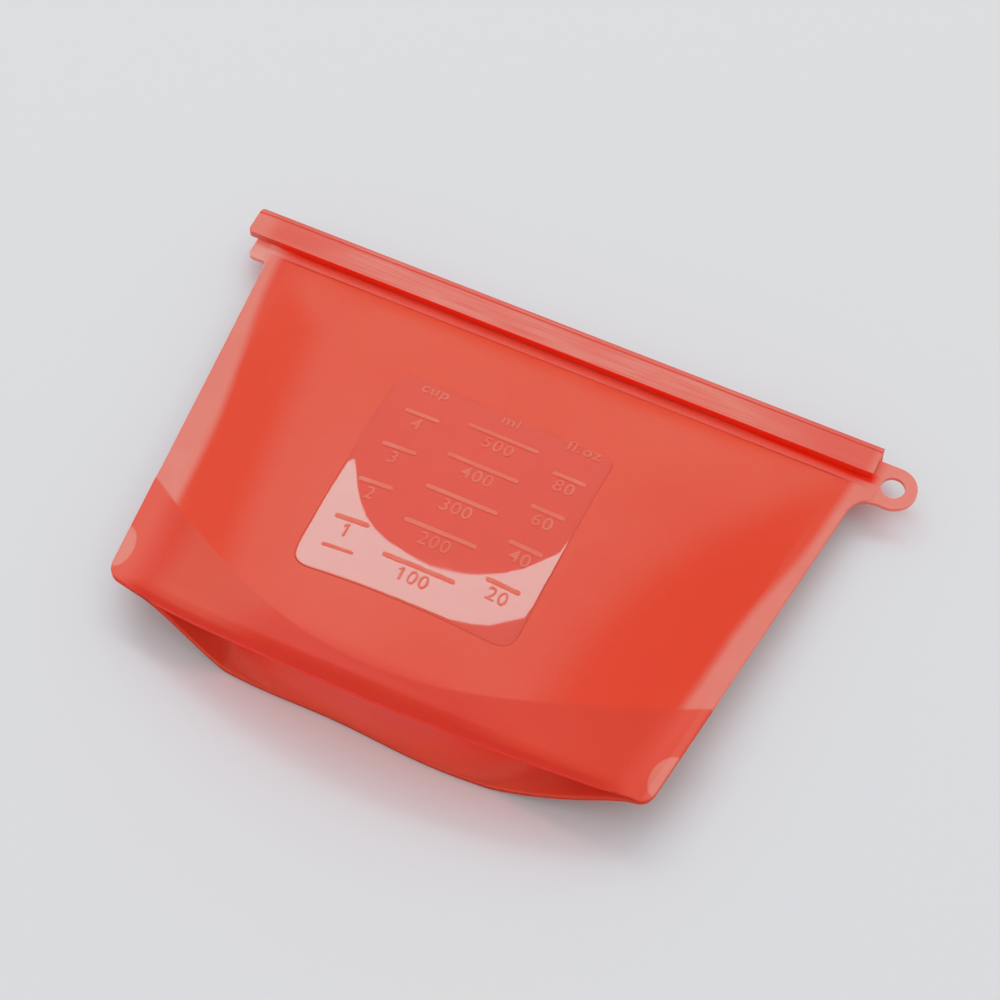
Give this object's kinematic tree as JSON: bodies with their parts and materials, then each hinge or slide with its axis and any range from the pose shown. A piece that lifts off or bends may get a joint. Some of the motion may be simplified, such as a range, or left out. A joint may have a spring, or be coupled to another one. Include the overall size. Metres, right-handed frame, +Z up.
{
  "type": "reusable silicone bag",
  "caption": "Flexible translucent food storage bag with a folded bottom, a hanging eye and a slide-on seal bar along its mouth.",
  "frame": {"origin": "on the resting face of the back panel, on the bag's centreline", "axes": "+X along the mouth towards the hang tab, +Y from the bottom towards the mouth, +Z up, out of the front panel"},
  "size_m": [0.2507, 0.1655, 0.0363],
  "materials": {
    "silicone": "frosted translucent, satin",
    "silicone_gusset": "frosted translucent, satin",
    "bar_plastic": "semi-gloss translucent, drawn lengthways"
  },
  "bodies": {
    "bag": {"front_panel": "silicone", "back_panel": "silicone", "bottom_gusset": "silicone_gusset", "front_lip": "silicone", "back_lip": "silicone", "hang_tab": "silicone", "end_tab": "silicone"},
    "seal_bar": {"seal_bar": "bar_plastic"}
  },
  "joints": [
    {"name": "seal_bar_slide", "type": "slide", "parent": "bag", "child": "seal_bar", "axis": [-1, 0, 0], "range_m": [0, 0.24]}
  ]
}
